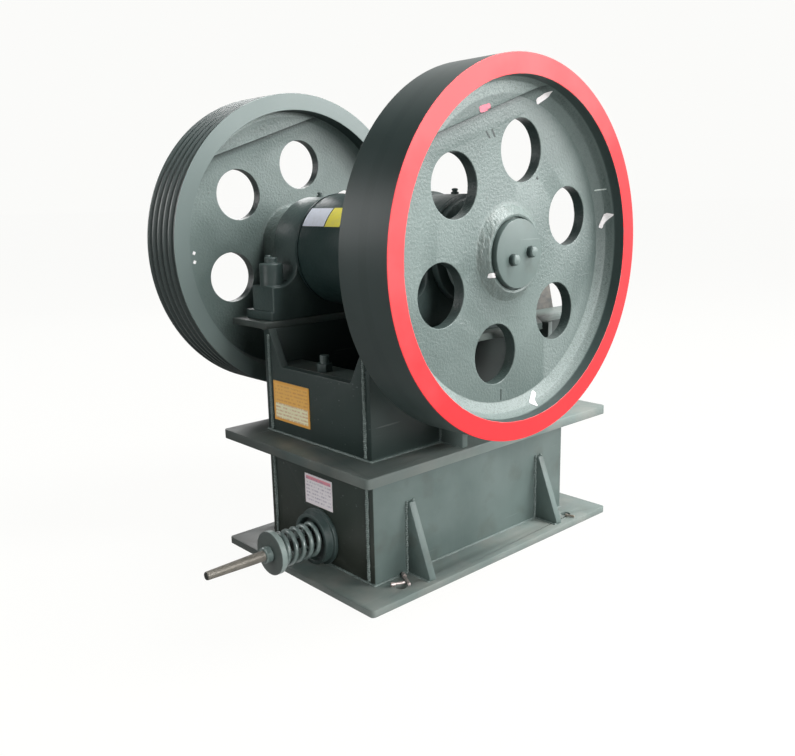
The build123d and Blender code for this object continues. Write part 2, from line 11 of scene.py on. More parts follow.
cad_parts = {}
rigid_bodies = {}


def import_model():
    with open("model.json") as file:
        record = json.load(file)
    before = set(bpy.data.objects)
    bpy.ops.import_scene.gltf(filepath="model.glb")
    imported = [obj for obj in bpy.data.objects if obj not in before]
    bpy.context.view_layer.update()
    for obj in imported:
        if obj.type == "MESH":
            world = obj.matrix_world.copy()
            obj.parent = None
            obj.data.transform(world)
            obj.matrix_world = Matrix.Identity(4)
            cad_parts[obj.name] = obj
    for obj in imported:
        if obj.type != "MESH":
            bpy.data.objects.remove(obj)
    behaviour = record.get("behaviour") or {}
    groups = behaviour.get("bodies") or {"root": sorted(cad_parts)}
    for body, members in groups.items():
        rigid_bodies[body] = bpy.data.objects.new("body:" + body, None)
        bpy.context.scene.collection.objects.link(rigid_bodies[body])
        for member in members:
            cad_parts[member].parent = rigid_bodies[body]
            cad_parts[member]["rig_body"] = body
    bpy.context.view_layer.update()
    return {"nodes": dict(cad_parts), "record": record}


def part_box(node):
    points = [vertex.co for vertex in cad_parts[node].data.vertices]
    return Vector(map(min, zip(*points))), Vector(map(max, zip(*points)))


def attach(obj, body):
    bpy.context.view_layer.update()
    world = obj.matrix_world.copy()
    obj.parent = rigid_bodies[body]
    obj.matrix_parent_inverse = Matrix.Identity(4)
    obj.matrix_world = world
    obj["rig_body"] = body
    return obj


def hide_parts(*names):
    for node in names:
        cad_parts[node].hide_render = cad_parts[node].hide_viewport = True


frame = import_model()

scene = bpy.context.scene

# Frame plates: the base plate, the walls of both boxes, the flange between them, the gussets, the
# bearing plates and their ribs. Mild steel plate, flame cut, with its edges ground over by hand,
# tacked up and welded, then sprayed all over with one coat of grey-green enamel.


class Field:
    """A value that changes over a surface. Python operators on it add Math nodes."""

    def __init__(self, coat, socket):
        self.coat, self.socket = coat, socket

    def maths(self, operation, other):
        return self.coat.node("ShaderNodeMath", {"operation": operation}, {0: self, 1: other})

    __add__ = __radd__ = partialmethod(maths, "ADD")
    __sub__ = partialmethod(maths, "SUBTRACT")
    __mul__ = __rmul__ = partialmethod(maths, "MULTIPLY")
    __pow__ = partialmethod(maths, "POWER")
    __gt__ = partialmethod(maths, "GREATER_THAN")
    __lt__ = partialmethod(maths, "LESS_THAN")

    def __rsub__(self, other):
        return self * -1 + other


class Coat:
    """A paint or a bare surface on one or more pieces of the crusher."""

    def __init__(self, name):
        self.material = bpy.data.materials.new(name)
        self.material.use_nodes = True
        self.tree = self.material.node_tree
        self.shader = self.tree.nodes["Principled BSDF"]
        self.place = self.node("ShaderNodeTexCoord", output="Object")
        self.x, self.y, self.z = (self.node("ShaderNodeSeparateXYZ", {}, {0: self.place}, axis)
                                  for axis in "XYZ")

    def node(self, kind, settings={}, values={}, output=0):
        made = self.tree.nodes.new(kind)
        for name, setting in settings.items():
            setattr(made, name, setting)
        for name, value in values.items():
            self.feed(made.inputs[name], value)
        return Field(self, made.outputs[output])

    def feed(self, socket, value):
        if isinstance(value, Field):
            self.tree.links.new(value.socket, socket)
        elif isinstance(value, tuple) and len(value) == 3 and socket.type == "RGBA":
            socket.default_value = (*value, 1)
        else:
            socket.default_value = value

    def noise(self, grain, detail=3, stretch=None):
        """Noise whose lumps are about this many millimetres across."""
        where = self.place
        if stretch:
            where = self.node("ShaderNodeMapping", {}, {"Vector": where, "Scale": stretch})
        return self.node("ShaderNodeTexNoise", {},
                         {"Vector": where, "Scale": 1000 / grain, "Detail": detail}, "Fac")

    def between(self, value, low, high, at_low=0.0, at_high=1.0):
        return self.node("ShaderNodeMapRange", {"clamp": True},
                         {0: value, 1: low, 2: high, 3: at_low, 4: at_high})

    def mix(self, share, one, other):
        return self.node("ShaderNodeMix", {"data_type": "RGBA"}, {0: share, 6: one, 7: other}, 2)

    def bump(self, height, depth, over=None):
        """Relief of this depth in millimetres, on top of another one."""
        values = {"Height": height, "Distance": depth / 1000, "Strength": 1.0}
        if over:
            values["Normal"] = over
        return self.node("ShaderNodeBump", {}, values)

    def surface(self, **values):
        for name, value in values.items():
            self.feed(self.shader.inputs[name.replace("_", " ")], value)
        return self.material


green = (0.086, 0.120, 0.112)
green_thin = (0.122, 0.162, 0.152)
green_pale = (0.27, 0.33, 0.315)
green_dirty = (0.066, 0.074, 0.060)
upper_rear_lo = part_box("upper_rear_wall")[0]
rear_face, upper_foot = upper_rear_lo.x, upper_rear_lo.z


def plate_enamel(name, streaks, dust_and_painted_light=0.0, painted_wall_shade=False, pale=0.0):
    """Enamel on plate: thin and thick patches, streaks, peel and grease. Level plates have dust,
    painted shade at the rear and in the far corner, and painted light along the near edge. Walls
    have painted shade over the upper box and on the faces at the rear."""
    paint = Coat(name)
    clouds = paint.noise(130, 4)
    runs = paint.noise(26, 3, streaks)
    grease = paint.between(paint.noise(55, 6), 0.54, 0.74)
    colour = paint.mix(paint.between(clouds, 0.38, 0.66), green, green_thin)
    colour = paint.mix(paint.between(runs, 0.55, 0.75) * 0.4, colour, green_thin)
    colour = paint.mix(grease * 0.45, colour, green_dirty)
    if dust_and_painted_light:
        patches = paint.between(paint.noise(80, 5), 0.42, 0.66)
        colour = paint.mix(patches * dust_and_painted_light, colour, (0.250, 0.240, 0.215))
        # Painted shade: the rear of the level plates and their far corner are darkened where the machine
        # shades them.
        painted_shade = paint.between(paint.x, -0.12, -0.26) * paint.between(paint.z, 0.1, 0.2)
        colour = paint.mix(painted_shade * 0.55, colour, (0.040, 0.052, 0.048))
        far_corner = paint.between(paint.x, -0.12, -0.28) * paint.between(paint.y, -0.02, 0.14)
        colour = paint.mix(far_corner * 0.6, colour, (0.040, 0.046, 0.042))
        # Painted light: the near edge of the level plates is paler where the light falls on it.
        near_edge = paint.between(paint.y, -0.12, -0.20)
        colour = paint.mix(near_edge * 0.3, colour, (0.27, 0.31, 0.29))
    if pale:
        colour = paint.mix(pale, colour, green_pale)
    if painted_wall_shade:
        # Painted shade: the walls of the upper box are darkened for the flywheel's shadow, and the faces
        # at the rear for their shade.
        painted_shade = paint.between(paint.z, upper_foot - 0.002, upper_foot + 0.006)
        colour = paint.mix(painted_shade * 0.86, colour, (0.022, 0.035, 0.032))
        back = paint.between(paint.x, rear_face + 0.0016, rear_face + 0.0006, 0, 1)
        height = paint.between(paint.z, 0.05, 0.30)
        rear_shade_colour = paint.mix(height, (0.022, 0.026, 0.019), (0.017, 0.033, 0.030))
        colour = paint.mix(back * 0.95, colour, rear_shade_colour)
    scratches = paint.noise(9, 2, (0.05, 1, 1.6))
    colour = paint.mix(paint.between(scratches, 0.70, 0.74) * 0.3, colour, (0.24, 0.28, 0.265))
    peel = paint.bump(paint.noise(2.6, 2), 0.05)
    return paint.surface(
        Base_Color=colour, Roughness=paint.between(clouds + runs * 0.5, 0.5, 1.0, 0.38, 0.5),
        Normal=paint.bump(paint.noise(34, 2), 0.2, peel), Specular_IOR_Level=0.42)


wall_enamel = plate_enamel("enamel on the walls", (1, 1, 0.16), painted_wall_shade=True)
flat_enamel = plate_enamel("enamel on level plates", (0.14, 1, 1), dust_and_painted_light=0.5)
# Painted light: the bearing ribs take a paler copy of the enamel, for the light that falls on them.
rib_enamel = plate_enamel("enamel on the bearing ribs", (1, 1, 0.3), pale=0.35)
edge_enamel = plate_enamel("enamel on gussets and wheel caps", (1, 1, 0.3))


def plain_mesh(piece):
    """Turns a piece and its modifiers into one plain mesh at the origin."""
    bpy.context.view_layer.update()
    shaped = piece.evaluated_get(bpy.context.evaluated_depsgraph_get())
    mesh = bpy.data.meshes.new_from_object(shaped)
    piece.modifiers.clear()
    piece.data = mesh
    return piece


def finished(node, material, edge, steps=2, corner=None, smooth=32):
    """Copy of a CAD piece with its edges rounded over, in place of the sharp one. A casting's
    shallow inner corners take a radius of their own. Seams that run on side by side stay sharp."""
    mesh = frame["nodes"][node].data.copy()
    shape = bmesh.new()
    shape.from_mesh(mesh)
    bmesh.ops.remove_doubles(shape, verts=shape.verts, dist=1e-5)
    bmesh.ops.dissolve_limit(shape, angle_limit=radians(0.6), verts=shape.verts, edges=shape.edges)
    widest = max(edge, corner or 0)
    weights = shape.edges.layers.float.new("bevel_weight_edge")
    sharp, shallow, side_by_side = radians(28), radians(75), radians(15)
    seams = {seam for seam in shape.edges
             if len(seam.link_faces) == 2 and seam.calc_face_angle(0) > sharp}
    for seam in seams:
        inner = corner and not seam.is_convex and seam.calc_face_angle(0) < shallow
        seam[weights] = (corner if inner else edge) / widest
    for point in shape.verts:
        meeting = [seam for seam in point.link_edges if seam in seams]
        ways = [(seam.other_vert(point).co - point.co).normalized() for seam in meeting]
        for one, way in zip(meeting, ways):
            if sum(way.dot(other) > cos(side_by_side) for other in ways) > 1:
                one[weights] = 0
    shape.to_mesh(mesh)
    shape.free()
    mesh.materials.clear()
    piece = bpy.data.objects.new(f"{node}_finished", mesh)
    scene.collection.objects.link(piece)
    rounding = piece.modifiers.new("rounding", "BEVEL")
    rounding.limit_method, rounding.width, rounding.segments = "WEIGHT", widest / 1000, steps
    rounding.use_clamp_overlap = False
    plain_mesh(piece)
    piece.data.materials.append(material)
    piece.data.shade_smooth()
    piece.data.set_sharp_from_angle(angle=radians(smooth))
    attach(piece, frame["nodes"][node]["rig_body"])
    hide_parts(node)
    return piece


sides = ("flywheel_side", "sheave_side")
coats = {"base_plate": flat_enamel, "middle_flange": flat_enamel, "screw_shelf": flat_enamel,
         "toggle_beam": flat_enamel, "lower_rear_wall": wall_enamel, "upper_rear_wall": wall_enamel,
         "lower_front_wall": wall_enamel, "upper_front_wall": wall_enamel}
for side in sides:
    coats |= {f"{level}_wall_{side}": wall_enamel for level in ("lower", "upper")}
    coats |= {f"{end}_gusset_{side}": edge_enamel for end in ("rear", "front")}
    coats |= {f"{end}_bearing_rib_{side}": rib_enamel for end in ("rear", "front")}
    coats[f"bearing_plate_{side}"] = flat_enamel
for plate, coat in coats.items():
    finished(plate, coat, 1.3)

# Weld beads along the joints of the frame: hand-laid fillet welds, a row of overlapping ripples
# that was painted over with the plates and stayed a little lighter where it stands proud.

weld_paint = Coat("painted weld")
weld_enamel = weld_paint.surface(
    Base_Color=weld_paint.mix(weld_paint.noise(9, 3), green, (0.20, 0.245, 0.23)),
    Roughness=0.42, Normal=weld_paint.bump(weld_paint.noise(3, 2), 0.3))


class NodeTree:
    """A Geometry Nodes tree for one kind of repeated piece."""

    def __init__(self, name, sizes):
        self.group = bpy.data.node_groups.new(name, "GeometryNodeTree")
        face = self.group.interface
        face.new_socket("Geometry", in_out="INPUT", socket_type="NodeSocketGeometry")
        for size, kind in sizes.items():
            face.new_socket(size, in_out="INPUT", socket_type=kind)
        face.new_socket("Geometry", in_out="OUTPUT", socket_type="NodeSocketGeometry")
        self.given = self.group.nodes.new("NodeGroupInput").outputs

    def add(self, kind, settings={}, values={}, output=0):
        made = self.group.nodes.new(kind)
        for name, setting in settings.items():
            setattr(made, name, setting)
        for name, value in values.items():
            if isinstance(value, bpy.types.NodeSocket):
                self.group.links.new(value, made.inputs[name])
            else:
                made.inputs[name].default_value = value
        return made.outputs[output]

    def end(self, geometry, material):
        plain = self.add("GeometryNodeRealizeInstances", {}, {0: geometry})
        coated = self.add("GeometryNodeSetMaterial", {}, {"Geometry": plain, "Material": material})
        leave = self.group.nodes.new("NodeGroupOutput")
        self.group.links.new(coated, leave.inputs[0])

    def make(self, name, points, edges, **sizes):
        """Runs the tree on these points and lines and returns the plain mesh piece."""
        mesh = bpy.data.meshes.new(name)
        mesh.from_pydata(points, edges, [])
        piece = bpy.data.objects.new(name, mesh)
        scene.collection.objects.link(piece)
        modifier = piece.modifiers.new("tree", "NODES")
        modifier.node_group = self.group
        for item in self.group.interface.items_tree:
            if item.in_out == "INPUT" and item.name.replace(" ", "_") in sizes:
                modifier[item.identifier] = sizes[item.name.replace(" ", "_")]
        return plain_mesh(piece)


welds = NodeTree("weld bead", {"Ripple step": "NodeSocketFloat", "Ripple size": "NodeSocketFloat"})
seams = welds.add("GeometryNodeMeshToCurve", {}, {0: welds.given["Geometry"]})
steps = welds.add("GeometryNodeCurveToPoints", {"mode": "LENGTH"},
                  {"Curve": seams, "Length": welds.given["Ripple step"]}, "Points")
along = welds.add("FunctionNodeAlignEulerToVector", {"axis": "Z"},
                  {"Vector": welds.add("GeometryNodeInputTangent")})
ripple = welds.add("GeometryNodeMeshUVSphere", {},
                   {"Segments": 8, "Rings": 5, "Radius": welds.given["Ripple size"]})
ripple = welds.add("GeometryNodeTransform", {}, {"Geometry": ripple, "Scale": (1, 1, 0.62)})
uneven = welds.add("FunctionNodeRandomValue", {"data_type": "FLOAT_VECTOR"},
                   {0: (0.8, 0.8, 0.8), 1: (1.15, 1.15, 1.15), "Seed": 7})
row = welds.add("GeometryNodeInstanceOnPoints", {},
                {"Points": steps, "Instance": ripple, "Scale": uneven, "Rotation": along})
welds.end(welds.add("GeometryNodeSetShadeSmooth", {}, {"Geometry": row}), weld_enamel)

lower_lo, lower_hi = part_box("lower_wall_flywheel_side")
upper_lo, upper_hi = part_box("upper_wall_flywheel_side")
half_box = -lower_lo.y
joint_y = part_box("lower_rear_wall")[1].y
corner_gap, seat_gap = 0.006, 0.012
gusset_tip, rib_top, rib_foot = 0.004, 0.004, 0.045
bead_points, bead_edges = [], []


def bead(*places):
    """Adds one weld that runs from place to place."""
    start = len(bead_points)
    bead_points.extend(places)
    bead_edges.extend((start + k, start + k + 1) for k in range(len(places) - 1))


for lo, hi, top_gap in ((lower_lo, lower_hi, corner_gap), (upper_lo, upper_hi, seat_gap)):
    for x in (lo.x, hi.x):
        for y in (-joint_y, joint_y):
            bead((x, y, lo.z + corner_gap), (x, y, hi.z - top_gap))
for z in (lower_lo.z, lower_hi.z, upper_lo.z):
    bead((lower_lo.x, -half_box, z), (lower_hi.x, -half_box, z), (lower_hi.x, half_box, z),
         (lower_lo.x, half_box, z), (lower_lo.x, -half_box, z))
for y in (-half_box, half_box):
    bead((upper_lo.x, y, upper_hi.z), (upper_hi.x, y, upper_hi.z))
for side in sides:
    out = -1 if side == "flywheel_side" else 1
    for place in ("rear", "front"):
        lo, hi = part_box(f"{place}_gusset_{side}")
        for x in (lo.x, hi.x):
            bead((x, out * half_box, hi.z), (x, out * half_box, lo.z),
                 (x, out * (half_box + hi.y - lo.y - gusset_tip), lo.z))
        lo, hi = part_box(f"{place}_bearing_rib_{side}")
        for x in (lo.x, hi.x):
            bead((x, out * half_box, hi.z - rib_top), (x, out * half_box, lo.z),
                 (x, out * (half_box + rib_foot), lo.z))
weld_beads = welds.make("weld_beads", bead_points, bead_edges, Ripple_step=0.0036, Ripple_size=0.0041)
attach(weld_beads, "frame")

# Castings of the frame: two plummer blocks and the covers on their outer ends. Grey iron, cast in
# sand and left rough except on the machined joints, then painted with the rest. Their enamel is
# the frame's, darkened as a painted shade.

# Painted shade: the castings' enamel is a darker copy of the frame's, for the shade they sit in.
cast_paint = Coat("enamel on rough casting")
clouds = cast_paint.noise(90, 4)
pits = cast_paint.noise(7, 4)
colour = cast_paint.mix(cast_paint.between(clouds, 0.36, 0.68),
                        (0.036, 0.058, 0.055), (0.058, 0.084, 0.079))
colour = cast_paint.mix(cast_paint.between(pits, 0.62, 0.78) * 0.5, colour, (0.024, 0.034, 0.030))
cast_enamel = cast_paint.surface(
    Base_Color=colour, Roughness=cast_paint.between(pits, 0.3, 0.7, 0.36, 0.5),
    Normal=cast_paint.bump(pits, 0.6, cast_paint.bump(cast_paint.noise(2.2, 2), 0.1)))
for side in sides:
    finished(f"bearing_housing_{side}", cast_enamel, 2.5, 3)
    finished(f"bearing_cover_{side}", cast_enamel, 2, 3)

# Pitman and jaws: a painted steel casting around the eccentric carries the corrugated jaw plate
# under its clamp bar. Both jaw plates and the cheek plates are bare manganese steel, and the block
# and the wedge behind the toggle plate are painted castings.

jaw_steel = Coat("manganese steel")
scale = jaw_steel.noise(18, 5)
colour = jaw_steel.mix(jaw_steel.between(scale, 0.35, 0.7), (0.075, 0.078, 0.075), (0.15, 0.14, 0.125))
bare_jaw = jaw_steel.surface(
    Base_Color=colour, Metallic=0.55, Roughness=jaw_steel.between(scale, 0.3, 0.7, 0.45, 0.65),
    Normal=jaw_steel.bump(jaw_steel.noise(6, 4), 0.5))
# Painted shade: the pitman's enamel is darker still, for the shade between the wheels.
dark_cast = Coat("enamel on the pitman")
clouds = dark_cast.noise(90, 4)
pits = dark_cast.noise(7, 4)
colour = dark_cast.mix(dark_cast.between(clouds, 0.36, 0.68),
                       (0.012, 0.028, 0.027), (0.021, 0.042, 0.040))
pitman_enamel = dark_cast.surface(
    Base_Color=colour, Roughness=dark_cast.between(pits, 0.3, 0.7, 0.34, 0.46),
    Normal=dark_cast.bump(pits, 0.3), Specular_IOR_Level=0.42)
finished("pitman", pitman_enamel, 3, 3, corner=6)
finished("jaw_clamp", cast_enamel, 2.5)
finished("moving_jaw_plate", bare_jaw, 1.2)
finished("fixed_jaw_plate", bare_jaw, 1.2)
for side in sides:
    finished(f"cheek_plate_{side}", bare_jaw, 1.5)
for node in ("toggle_block", "adjusting_wedge"):
    finished(node, cast_enamel, 2)

# Shaft and toggle plate: turned and forged steel, left bare and lightly oiled, with a brown bloom
# of rust. The wedge screw is painted like the castings.

oiled = Coat("oiled steel")
bloom = oiled.noise(14, 5)
colour = oiled.mix(oiled.between(bloom, 0.4, 0.72), (0.30, 0.285, 0.25), (0.17, 0.115, 0.075))
bare_steel = oiled.surface(
    Base_Color=colour, Metallic=0.75, Roughness=oiled.between(bloom, 0.35, 0.7, 0.36, 0.6),
    Normal=oiled.bump(oiled.noise(3, 3), 0.08))
finished("eccentric_shaft", bare_steel, 1)
finished("toggle_plate", bare_steel, 1.5)
finished("wedge_screw", cast_enamel, 1)

# Wheels: the flywheel and the grooved sheave are iron castings, turned on the tread and the rim's
# faces and left rough on the web and the hub. The enamel is pale and gritty where the iron is
# rough, with painted shade in near black on the turned sides and in the holes. The flywheel's outer
# rim face is red, with a random fade and a painted highlight towards the top and the left.

shaft, barrel = (Vector(joint["pos_m"]) for joint in frame["record"]["behaviour"]["joints"])
weight_chord, weight_angle = 0.236, radians(108.7)
hub_inner, hub_outer, hub_foot = 0.062, 0.078, 0.086


def wheel_paint(name, faces, web, rim_inner, fillet, red):
    """Enamel of a wheel: coarse and pale on the raw web, its pale corner dimmed as painted shade in
    the upper right. Painted shade darkens the turned faces, the holes, the web by the rim in the
    upper right and towards the foot, and a painted shadow lies under the balance weight."""
    paint = Coat(name)
    away_x, away_z = paint.x - shaft.x, paint.z - shaft.z
    away = (away_x * away_x + away_z * away_z) ** 0.5
    raw = paint.between(away, rim_inner - 0.003, rim_inner + 0.0005, 1, 0)
    corner = raw * paint.between(away, rim_inner - fillet - 0.0005, rim_inner - fillet + 0.002)
    hub = paint.between(away, hub_inner, hub_inner + 0.004) * paint.between(away, hub_foot, hub_outer)
    clouds = paint.noise(120, 4)
    pits, grit = paint.noise(5, 5), paint.noise(1.8, 3)
    torn = paint.noise(7, 5, (1, 1, 0.5))
    colour = paint.mix(paint.between(clouds, 0.36, 0.66), green, green_thin)
    thin = paint.between(clouds + grit * 0.4, 0.45, 0.95)
    colour = paint.mix(raw * thin * 0.6, colour, (0.175, 0.222, 0.208))
    # Painted shade: in the upper right the rim's shadow dims the pale corner.
    in_shade = paint.between(away_x, -0.04, 0.10) * paint.between(away_z, -0.12, 0.04)
    chalky_out_of_shade = paint.between(in_shade, 0, 1, 0.85, 0.12)
    colour = paint.mix(corner * chalky_out_of_shade, colour, (0.29, 0.345, 0.33))
    colour = paint.mix(corner * paint.between(grit, 0.5, 0.6) * 0.5, colour, (0.11, 0.14, 0.13))
    colour = paint.mix(raw * paint.between(grit, 0.5, 0.66) * 0.3, colour, (0.072, 0.102, 0.094))
    colour = paint.mix(raw * paint.between(pits, 0.62, 0.72) * 0.45, colour, green_dirty)
    # Painted shade: the turned rim walls and the sides of the holes are painted near black.
    turned_side = paint.between(away, rim_inner - 0.0015, rim_inner - 0.0005)
    hole_side = paint.between(paint.y, web[0] + 0.001, web[0] + 0.002)
    hole_side = hole_side * paint.between(paint.y, web[1] - 0.002, web[1] - 0.001, 1, 0)
    shaded_smooth_enamel = paint.mix(clouds, (0.016, 0.029, 0.027), (0.030, 0.047, 0.045))
    colour = paint.mix(hole_side * 0.9, colour, shaded_smooth_enamel)
    colour = paint.mix(turned_side * 0.95, colour, shaded_smooth_enamel)
    near_face = paint.between(paint.y, faces[0] + 0.0012, faces[0] + 0.0004, 0, 1)
    far_face = paint.between(paint.y, faces[1] - 0.0012, faces[1] - 0.0004)
    colour = paint.mix(turned_side * (near_face + far_face), colour, (0.130, 0.168, 0.160))
    colour = paint.mix(hub * paint.between(torn, 0.48, 0.58) * 0.38, colour, green_dirty)
    colour = paint.mix(hub * 0.38, colour, (0.25, 0.30, 0.285))
    # Painted shade: the raw web darkens towards the foot of the wheel.
    low = paint.between(away_z, 0.02, -0.28) * paint.between(corner, 0, 1, 0.65, 0.45)
    colour = paint.mix(raw * low, colour, (0.064, 0.090, 0.082))
    # Painted shade: the web darkens by the rim in the upper right, where the rim shades it.
    by_rim = in_shade * paint.between(away, 0.22, 0.275)
    colour = paint.mix(raw * by_rim * 0.6, colour, (0.036, 0.056, 0.052))
    # Painted shadow: a dark band on the web just under the balance weight.
    across = away_x * cos(weight_angle) + away_z * sin(weight_angle)
    shadow_under_weight = raw * paint.between(across, weight_chord - 0.012, weight_chord - 0.002)
    shadow_under_weight = shadow_under_weight * paint.between(across, weight_chord + 0.0015, weight_chord + 0.0004)
    colour = paint.mix(shadow_under_weight * 0.85, colour, (0.020, 0.032, 0.030))
    gloss = paint.between(clouds, 0.3, 0.7, 0.38, 0.44) + corner * 0.06
    if red:
        gloss = gloss + near_face * 0.25
        ragged = (paint.noise(16, 3) - 0.5) * 0.004
        face = near_face * paint.between(away + ragged, rim_inner - 0.0005, rim_inner + 0.001)
        # Painted highlight: the red is paler towards the top and the left, over a random fade.
        faded = paint.between(clouds + away_z * 1.5 - away_x * 0.9, 0.45, 1.02)
        rim_red = paint.mix(faded, (0.80, 0.012, 0.018), (0.86, 0.088, 0.094))
        colour = paint.mix(face, colour, rim_red)
    relief = paint.bump(grit * raw, 0.25, paint.bump(paint.noise(2.4, 2), 0.05))
    relief = paint.bump(torn * hub, 2.4, paint.bump(pits * raw, 1.0, relief))
    return paint.surface(Base_Color=colour, Roughness=gloss, Normal=relief)


flywheel_lo, flywheel_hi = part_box("flywheel")
flywheel_enamel = wheel_paint("flywheel enamel", faces=(flywheel_lo.y, flywheel_hi.y),
                              web=(-0.320, -0.298), rim_inner=0.282, fillet=0.026, red=True)
flywheel = finished("flywheel", flywheel_enamel, 1.3, 3, corner=2, smooth=18)
sheave_rim_near, sheave_rim_far = 0.2545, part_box("sheave")[1].y
sheave_enamel = wheel_paint("sheave enamel", faces=(sheave_rim_near, sheave_rim_far),
                            web=(0.2995, 0.3215), rim_inner=0.280, fillet=0.012, red=False)
sheave = finished("sheave", sheave_enamel, 0.9, 2, corner=2, smooth=18)
for cap in ("flywheel_cap", "sheave_cap"):
    finished(cap, edge_enamel, 1.5, 3)

# Bolts: round-headed screws that hold the end caps, the plummer blocks' stud ends, the grease
# nipples on top of them, and three screws that lie loose on the base plate.


def shaded(name, shape, sharp, material):
    """Piece from a closed shape, smooth where its faces meet at less than the sharp angle."""
    bmesh.ops.recalc_face_normals(shape, faces=shape.faces)
    mesh = bpy.data.meshes.new(name)
    shape.to_mesh(mesh)
    shape.free()
    mesh.shade_smooth()
    mesh.set_sharp_from_angle(angle=radians(sharp))
    mesh.materials.append(material)
    piece = bpy.data.objects.new(name, mesh)
    scene.collection.objects.link(piece)
    return piece


def turned(name, outline, origin, axis, around=28, material=cast_enamel):
    """Turned piece from an outline of (height, radius) pairs in millimetres along an axis."""
    axis = Vector(axis).normalized()
    spin = Vector((0, 0, 1)).rotation_difference(axis).to_matrix()
    shape = bmesh.new()
    rings = []
    for height, radius in outline:
        if radius:
            rings.append([shape.verts.new((radius * cos(2 * pi * k / around) / 1000,
                                           radius * sin(2 * pi * k / around) / 1000, height / 1000))
                          for k in range(around)])
        else:
            rings.append([shape.verts.new((0, 0, height / 1000))] * around)
    for below, above in zip(rings, rings[1:]):
        for k in range(around):
            corners = [below[k], below[(k + 1) % around], above[(k + 1) % around], above[k]]
            corners = [c for i, c in enumerate(corners) if c not in corners[:i]]
            if len(corners) > 2:
                shape.faces.new(corners)
    shape.transform(Matrix.Translation(origin) @ spin.to_4x4())
    return shaded(name, shape, 35, material)


near_cap, far_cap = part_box("flywheel_cap")[0].y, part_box("sheave_cap")[1].y
near_screws, far_screws = ((-0.121, 0.607), (-0.075, 0.618)), ((-0.123, 0.6045), (-0.083, 0.6275))
# Painted shade: the heads of the flywheel's cap screws are pale on top and dark on their sides.
head_paint = Coat("enamel on the cap screws")
head_top = head_paint.between(head_paint.y * -1 + near_cap, 0.006, 0.010)
head_enamel = head_paint.surface(
    Base_Color=head_paint.mix(head_top, (0.022, 0.036, 0.034), (0.120, 0.160, 0.150)), Roughness=0.4)
screw_head = [(0, 0), (0, 10), (3, 10), (8.5, 9.2), (10.5, 7.6), (11.3, 4), (11.5, 0)]
for number, (x, z) in enumerate(near_screws, 1):
    head = turned(f"flywheel_cap_screw_{number}", screw_head, (x, near_cap, z), (0, -1, 0), 24,
                  head_enamel)
    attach(head, "rotor")
for number, (x, z) in enumerate(far_screws, 1):
    head = turned(f"sheave_cap_screw_{number}", screw_head, (x, far_cap, z), (0, 1, 0))
    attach(head, "rotor")

nipple = [(0, 0), (0, 7), (4, 7), (5, 4.5), (6.5, 4.5), (7.5, 6), (10, 5), (11, 2.5), (11, 0)]
stud = [(0, 0), (0, 7), (2.5, 7), (4, 5.5), (4, 0)]
stud_spread, stud_foot = 0.138, 0.5975
for side in sides:
    lo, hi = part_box(f"bearing_housing_{side}")
    middle_y = (lo.y + hi.y) / 2
    cup = turned(f"grease_nipple_{side}", nipple, (shaft.x, middle_y, hi.z - 0.001), (0, 0, 1), 16)
    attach(cup, "frame")
    for end in (-1, 1):
        end_name = "rear" if end < 0 else "front"
        stud_end = turned(f"{end_name}_cap_stud_{side}", stud,
                          (shaft.x + end * stud_spread, middle_y, stud_foot), (0, 0, 1), 16)
        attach(stud_end, "frame")

screw_paint = Coat("plated steel")
plating = screw_paint.mix(screw_paint.noise(6, 3), (0.62, 0.55, 0.53), (0.36, 0.30, 0.28))
plated = screw_paint.surface(Base_Color=plating, Metallic=0.6, Roughness=0.4)
base_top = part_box("base_plate")[1].z
loose = (("near_loose_screw", (-0.265, -0.184), (-0.240, -0.195), 0.0042, plated),
         ("far_loose_screw", (-0.219, -0.168), (-0.241, -0.208), 0.0042, plated),
         ("front_loose_screw", (0.236, -0.207), (0.243, -0.226), 0.0035, bare_steel))
for name, head, tip, radius, material in loose:
    head, tip = Vector((*head, base_top + radius)), Vector((*tip, base_top + radius))
    length = (tip - head).length * 1000
    thick = radius * 1000
    outline = [(0, 0), (0, thick), (length * 0.25, thick), (length * 0.25, thick * 0.66),
               (length - 1, thick * 0.66), (length, thick * 0.4), (length, 0)]
    screw = turned(name, outline, head, tip - head, 12, material)
    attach(screw, "frame")

# Tension rod with its nut, washer, spring and cup: a threaded rod that pulls the pitman back, bare
# and oily, grey outside the spring and thinner at its tip, with painted shade in black inside the
# spring and on its end. The spring, washer and nut are painted, and the cup stands on the wall.


def threaded(name, start, end, radius, pitch, depth, z, material):
    """Rod along X with a real screw thread, worn thinner towards its tip, its ends closed."""
    around, per_turn = 28, 6
    worn_length, tip_share = 95, 0.8
    rings = int((end - start) / (pitch / per_turn))
    shape = bmesh.new()
    previous = first = None
    for ring in range(rings + 1):
        x = start + ring * pitch / per_turn
        circle = []
        for k in range(around):
            turn = (ring / per_turn - k / around) % 1
            r = radius - depth * abs(2 * turn - 1)
            r -= 1.5 * depth * max(0, 1 - ring / per_turn)
            r *= tip_share + (1 - tip_share) * min(1, (x - start) / worn_length)
            angle = 2 * pi * k / around
            place = (x / 1000, r * cos(angle) / 1000, (z + r * sin(angle)) / 1000)
            circle.append(shape.verts.new(place))
        if previous:
            for k in range(around):
                after = (k + 1) % around
                shape.faces.new((previous[k], previous[after], circle[after], circle[k]))
        else:
            first = circle
        previous = circle
    shape.faces.new(first)
    shape.faces.new(previous)
    return shaded(name, shape, 50, material)


rod_lo, rod_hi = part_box("tension_rod")
rod_paint = Coat("oily rod")
mill = rod_paint.mix(rod_paint.noise(8, 5, (0.4, 1, 1)), (0.15, 0.14, 0.12), (0.33, 0.31, 0.27))
